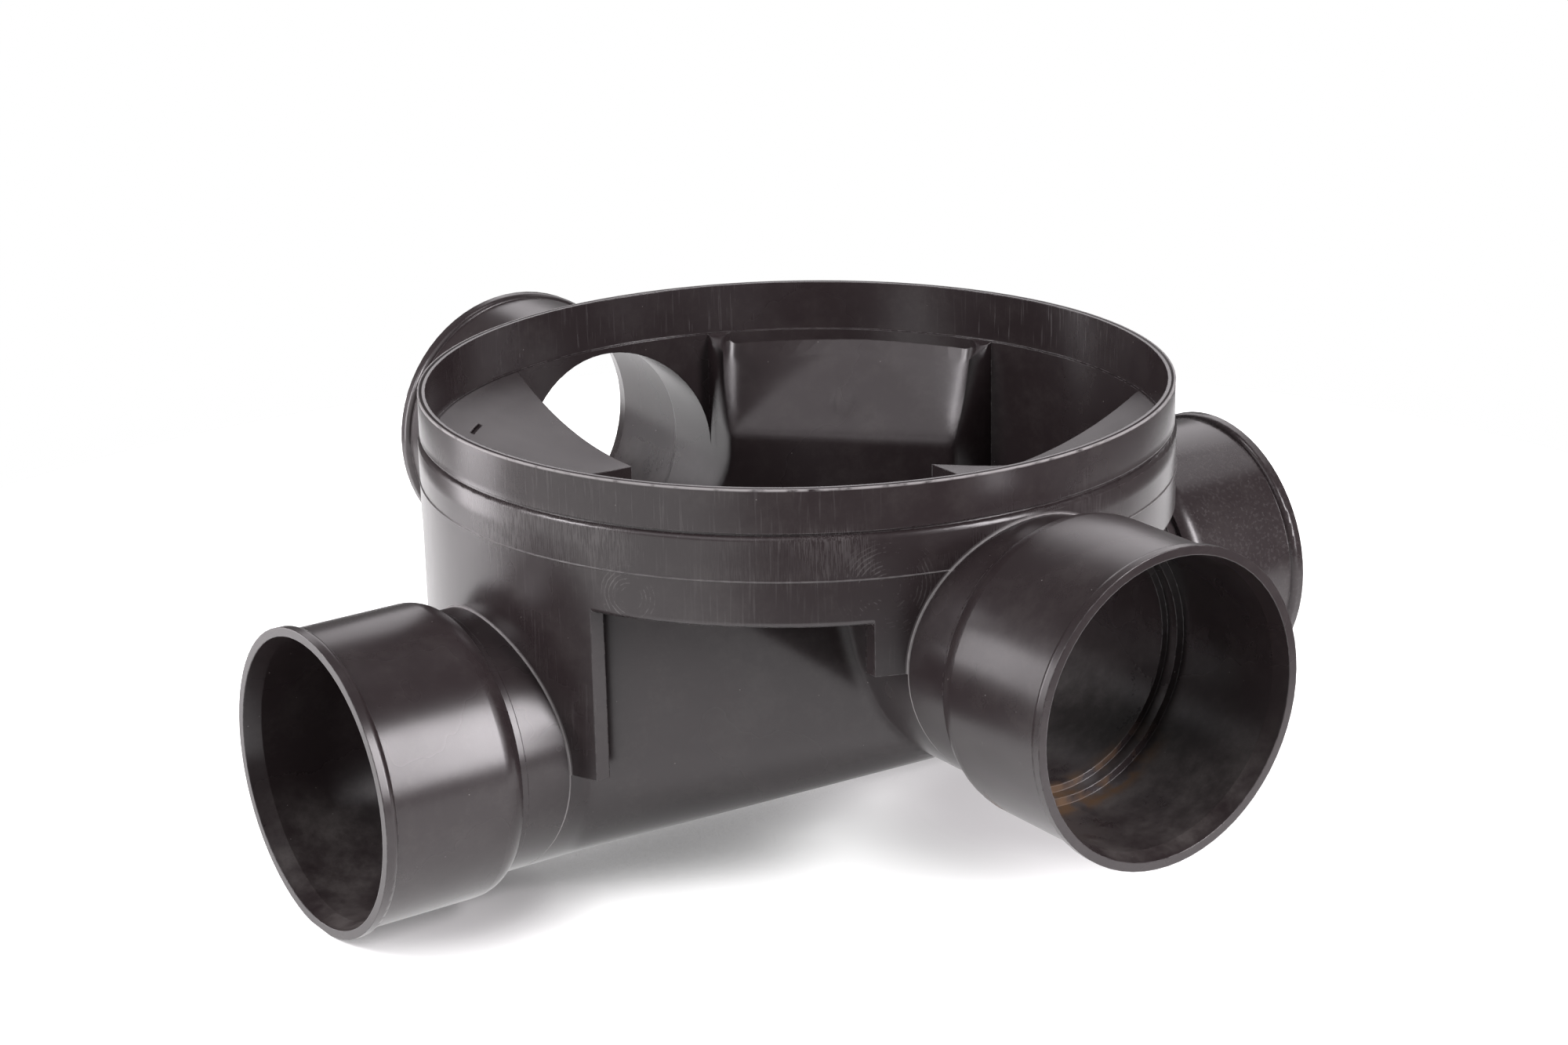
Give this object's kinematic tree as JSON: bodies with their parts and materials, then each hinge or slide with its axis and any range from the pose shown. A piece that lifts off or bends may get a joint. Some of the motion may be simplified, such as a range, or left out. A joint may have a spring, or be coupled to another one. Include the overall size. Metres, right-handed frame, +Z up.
{
  "type": "drain inspection chamber base",
  "caption": "Round moulded plastic inspection chamber base for underground drains: open ring for a riser shaft, deep main run, raised side branches, swept channels and pipe sockets.",
  "frame": {"origin": "on the chamber's vertical axis, at the floor that the main sockets stand on", "axes": "+Z up along the riser's axis, X along the deep main run, Y along the two raised side branches"},
  "size_m": [0.7, 0.708, 0.2787],
  "materials": {
    "black_plastic": "charcoal black moulded polypropylene, semi-gloss, lightly scuffed"
  },
  "bodies": {
    "root": {"chamber_base": "black_plastic"}
  },
  "joints": []
}
